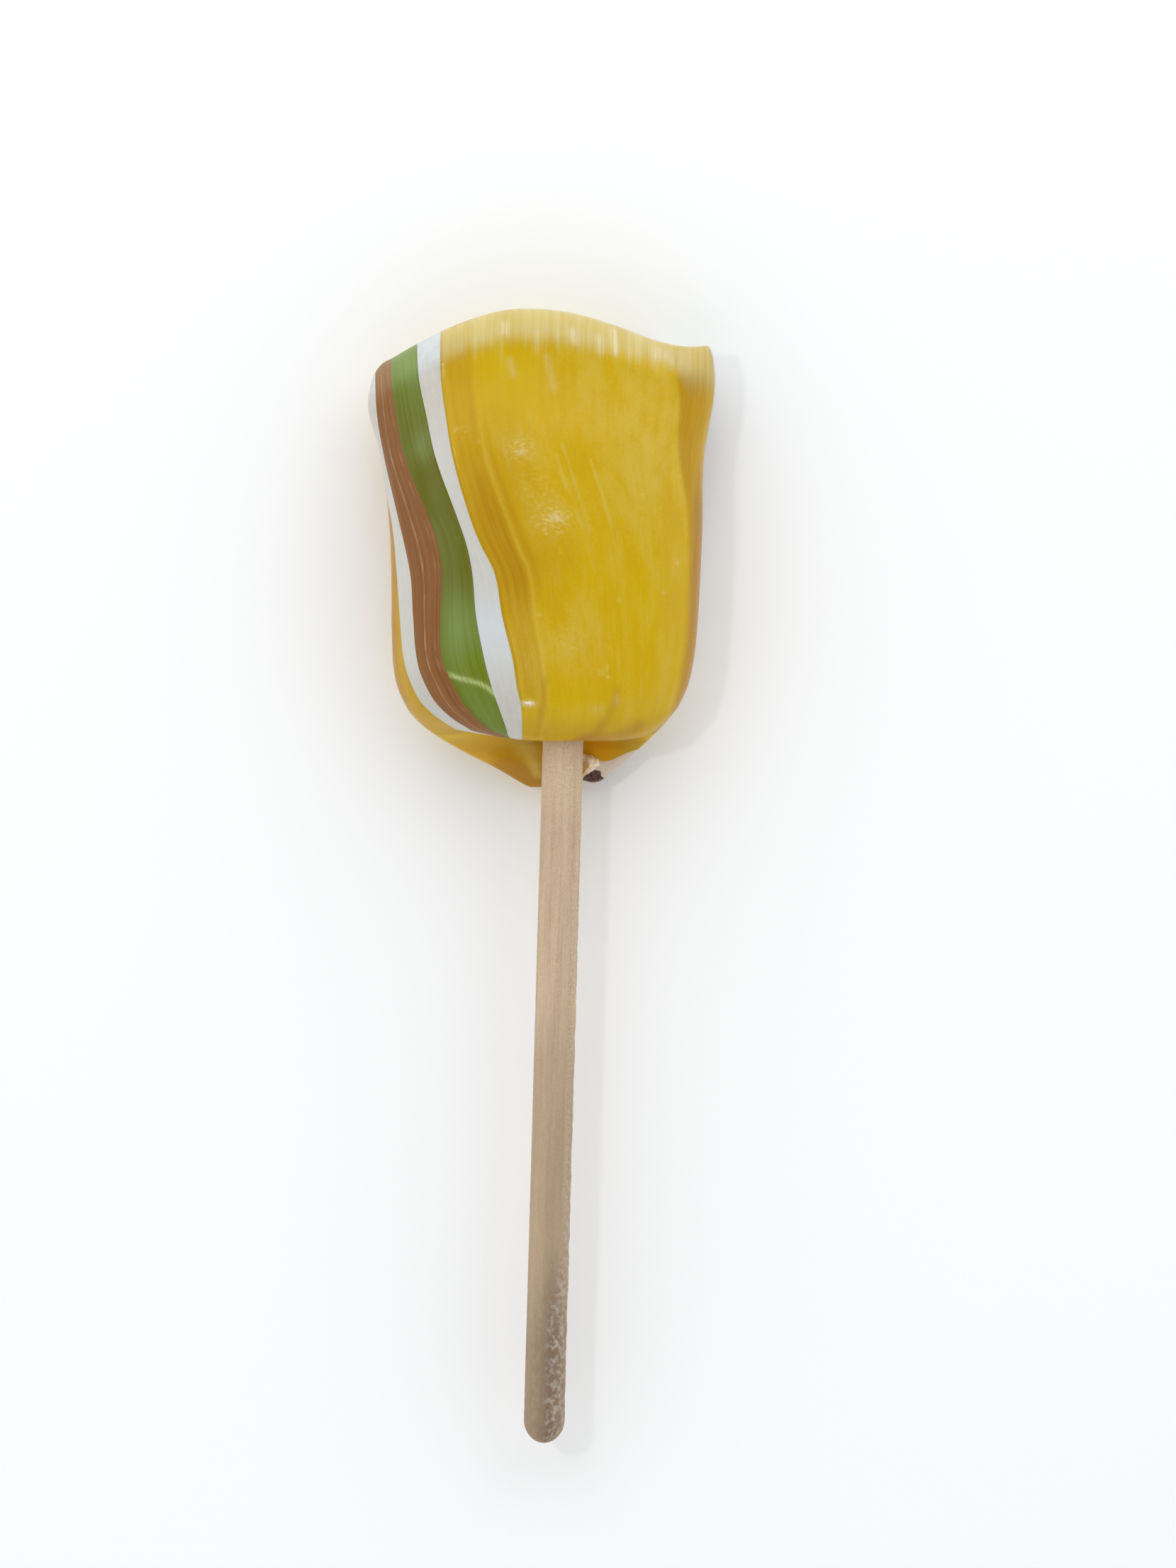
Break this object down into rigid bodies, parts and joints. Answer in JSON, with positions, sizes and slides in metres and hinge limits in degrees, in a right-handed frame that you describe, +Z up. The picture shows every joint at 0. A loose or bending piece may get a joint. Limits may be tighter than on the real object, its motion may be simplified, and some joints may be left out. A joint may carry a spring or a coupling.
{
  "type": "lollipop",
  "caption": "Hand-pulled lollipop lying on its back: a flat yellow candy cushion with a wavy top edge and coloured stripes down its sides, gathered round a plain wooden stick.",
  "frame": {"origin": "middle of the underside of the whole object's box, on the surface it lies on", "axes": "+Y along the object from the stick's free end to the top of the candy, +X to the right as seen from above with the candy at the top, +Z up from the surface towards the shown side"},
  "size_m": [0.0472, 0.1536, 0.0167],
  "materials": {
    "candy_yellow": "glossy, slightly clear pulled sugar with fine lengthwise streaks, honey yellow",
    "candy_white": "glossy opaque white pulled sugar",
    "candy_green": "glossy leaf green pulled sugar with lengthwise streaks",
    "candy_brown": "glossy cocoa brown pulled sugar with lengthwise streaks",
    "wood": "bare pale birch, smooth with a rough side"
  },
  "bodies": {
    "root": {"candy": "candy_yellow", "front_outer_white_stripe": "candy_white", "front_brown_stripe": "candy_brown", "front_green_stripe": "candy_green", "front_inner_white_stripe": "candy_white", "back_outer_white_stripe": "candy_white", "back_brown_stripe": "candy_brown", "back_green_stripe": "candy_green", "back_inner_white_stripe": "candy_white", "stick": "wood"}
  },
  "joints": []
}
